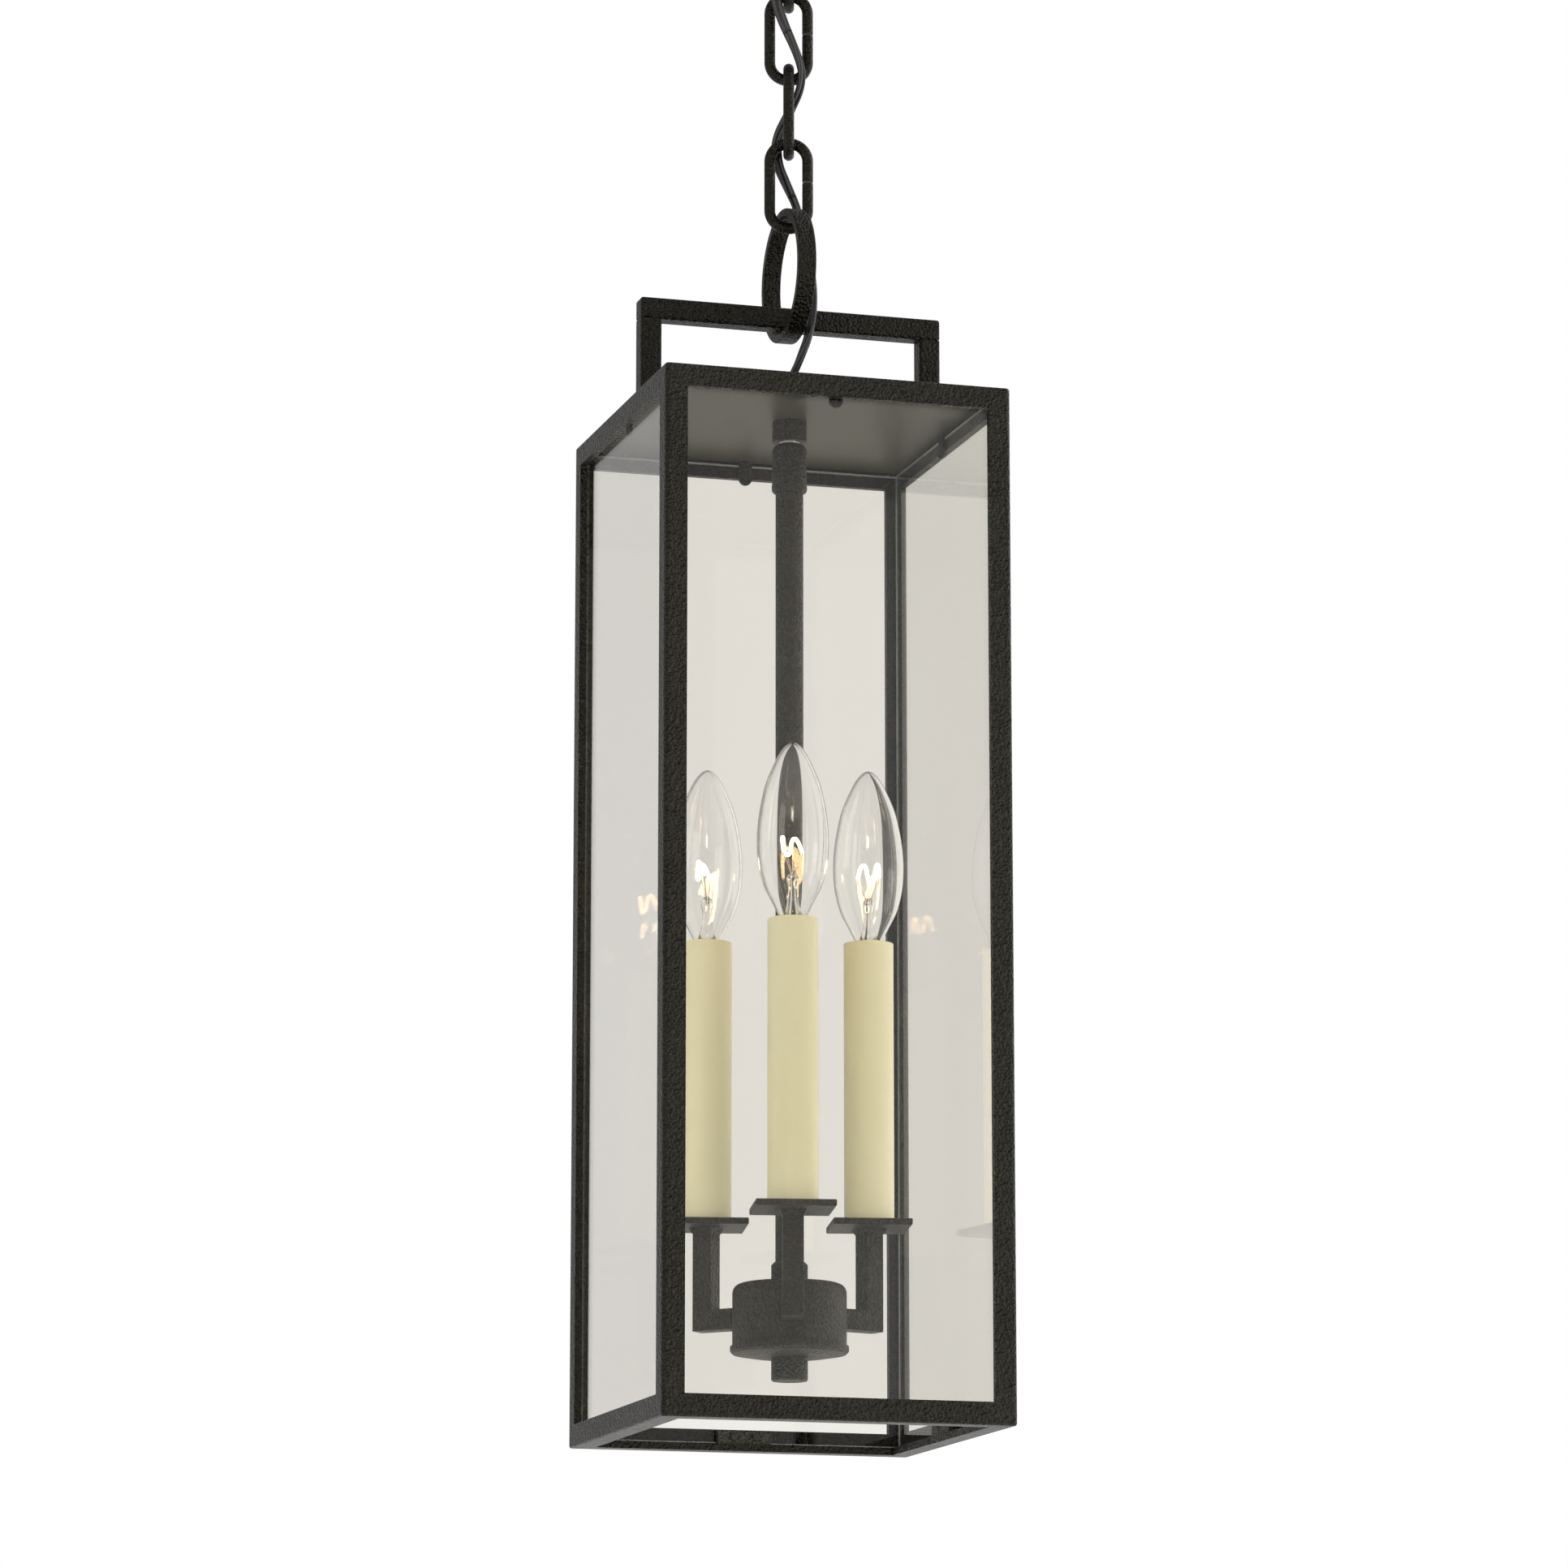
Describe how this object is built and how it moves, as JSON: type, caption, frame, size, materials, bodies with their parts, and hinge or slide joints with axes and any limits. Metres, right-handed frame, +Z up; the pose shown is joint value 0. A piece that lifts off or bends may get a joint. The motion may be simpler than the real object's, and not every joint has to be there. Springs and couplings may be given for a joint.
{
  "type": "hanging lantern",
  "caption": "Square hanging lantern of steel angle and glass, with candle lamps on a swivelling stem, a bail handle, a ring, an oval-link chain, a ceiling canopy and a supply cord.",
  "frame": {"origin": "middle of the crossbar's slots on the ceiling plane, which is the plane of the canopy's rim", "axes": "+Z up, +X right along the lantern's front, +Y to its back"},
  "size_m": [0.165, 0.165, 0.7848],
  "materials": {
    "iron": "textured black paint, satin",
    "screw_steel": "blackened",
    "earth_screw": "green, satin",
    "pane_glass": "clear, polished",
    "candle_sleeve": "cream, matt",
    "lampholder": "white, matt",
    "lead_insulation": "smooth",
    "grommet": "matt",
    "bulb_glass": "clear",
    "bulb_base": "bright",
    "cord_jacket": "semi-matt"
  },
  "bodies": {
    "canopy": {"canopy": "iron", "crossbar": "iron", "canopy_nipple": "iron", "canopy_locknut": "iron", "ground_screw": "earth_screw", "screw_collar": "iron", "canopy_loop": "iron", "supply_cord": "cord_jacket"},
    "link_1": {"chain_link_1": "iron"},
    "link_2": {"chain_link_2": "iron"},
    "link_3": {"chain_link_3": "iron"},
    "link_4": {"chain_link_4": "iron"},
    "ring": {"hanging_ring": "iron"},
    "lantern": {"corner_post_front_left": "iron", "corner_post_front_right": "iron", "corner_post_back_right": "iron", "corner_post_back_left": "iron", "bottom_rails": "iron", "top_rails": "iron", "top_plate": "iron", "handle_bar": "iron", "handle_legs": "iron", "cord_grommet": "grommet", "stem_nut": "iron", "stem_collar": "iron", "swivel_stud": "iron", "glass_front": "pane_glass", "glass_right": "pane_glass", "glass_back": "pane_glass", "glass_left": "pane_glass", "glass_tabs": "iron", "glass_clips": "iron", "clip_screws": "screw_steel"},
    "swivel": {"swivel_body": "iron"},
    "lamp_cluster": {"stem_tube": "iron", "neck_collar": "iron", "cluster_body": "iron", "cluster_cap": "iron", "finial": "iron", "centre_nipple": "iron", "arm_1": "iron", "arm_2": "iron", "arm_3": "iron", "bobeche_1": "iron", "bobeche_2": "iron", "bobeche_3": "iron", "socket_risers": "iron", "sockets": "lampholder", "sleeve_1": "candle_sleeve", "sleeve_2": "candle_sleeve", "sleeve_3": "candle_sleeve", "lamp_leads": "lead_insulation"},
    "bulb_1": {"bulb_glass_1": "bulb_glass", "bulb_base_1": "bulb_base"},
    "bulb_2": {"bulb_glass_2": "bulb_glass", "bulb_base_2": "bulb_base"},
    "bulb_3": {"bulb_glass_3": "bulb_glass", "bulb_base_3": "bulb_base"}
  },
  "joints": [
    {"name": "link_1_swing", "type": "hinge", "parent": "canopy", "child": "link_1", "pos_m": [0, 0, -0.066], "axis": [0.9593, -0.2823, 0], "range_deg": [-20, 20], "deforming": ["supply_cord"]},
    {"name": "link_2_swing", "type": "hinge", "parent": "link_1", "child": "link_2", "pos_m": [0, 0, -0.10265], "axis": [0.2823, 0.9593, 0], "range_deg": [-20, 20]},
    {"name": "link_3_swing", "type": "hinge", "parent": "link_2", "child": "link_3", "pos_m": [0, 0, -0.1393], "axis": [0.9593, -0.2823, 0], "range_deg": [-20, 20]},
    {"name": "link_4_swing", "type": "hinge", "parent": "link_3", "child": "link_4", "pos_m": [0, 0, -0.17595], "axis": [0.2823, 0.9593, 0], "range_deg": [-20, 20]},
    {"name": "ring_swing", "type": "hinge", "parent": "link_4", "child": "ring", "pos_m": [0, 0, -0.2126], "axis": [0.9593, -0.2823, 0], "range_deg": [-25, 25]},
    {"name": "lantern_swing", "type": "hinge", "parent": "ring", "child": "lantern", "pos_m": [0, 0, -0.23605], "axis": [1, 0, 0], "range_deg": [-25, 25]},
    {"name": "stem_sway", "type": "hinge", "parent": "lantern", "child": "swivel", "pos_m": [0, 0, -0.32983], "axis": [1, 0, 0], "range_deg": [-0.9, 0.9]},
    {"name": "stem_twist", "type": "hinge", "parent": "swivel", "child": "lamp_cluster", "pos_m": [0, 0, -0.32983], "axis": [0, 0, 1], "range_deg": [-170, 170]},
    {"name": "bulb_1_release", "type": "slide", "parent": "lamp_cluster", "child": "bulb_1", "axis": [0, 0, 1], "range_m": [0, 0.02]},
    {"name": "bulb_2_release", "type": "slide", "parent": "lamp_cluster", "child": "bulb_2", "axis": [0, 0, 1], "range_m": [0, 0.02]},
    {"name": "bulb_3_release", "type": "slide", "parent": "lamp_cluster", "child": "bulb_3", "axis": [0, 0, 1], "range_m": [0, 0.02]}
  ]
}
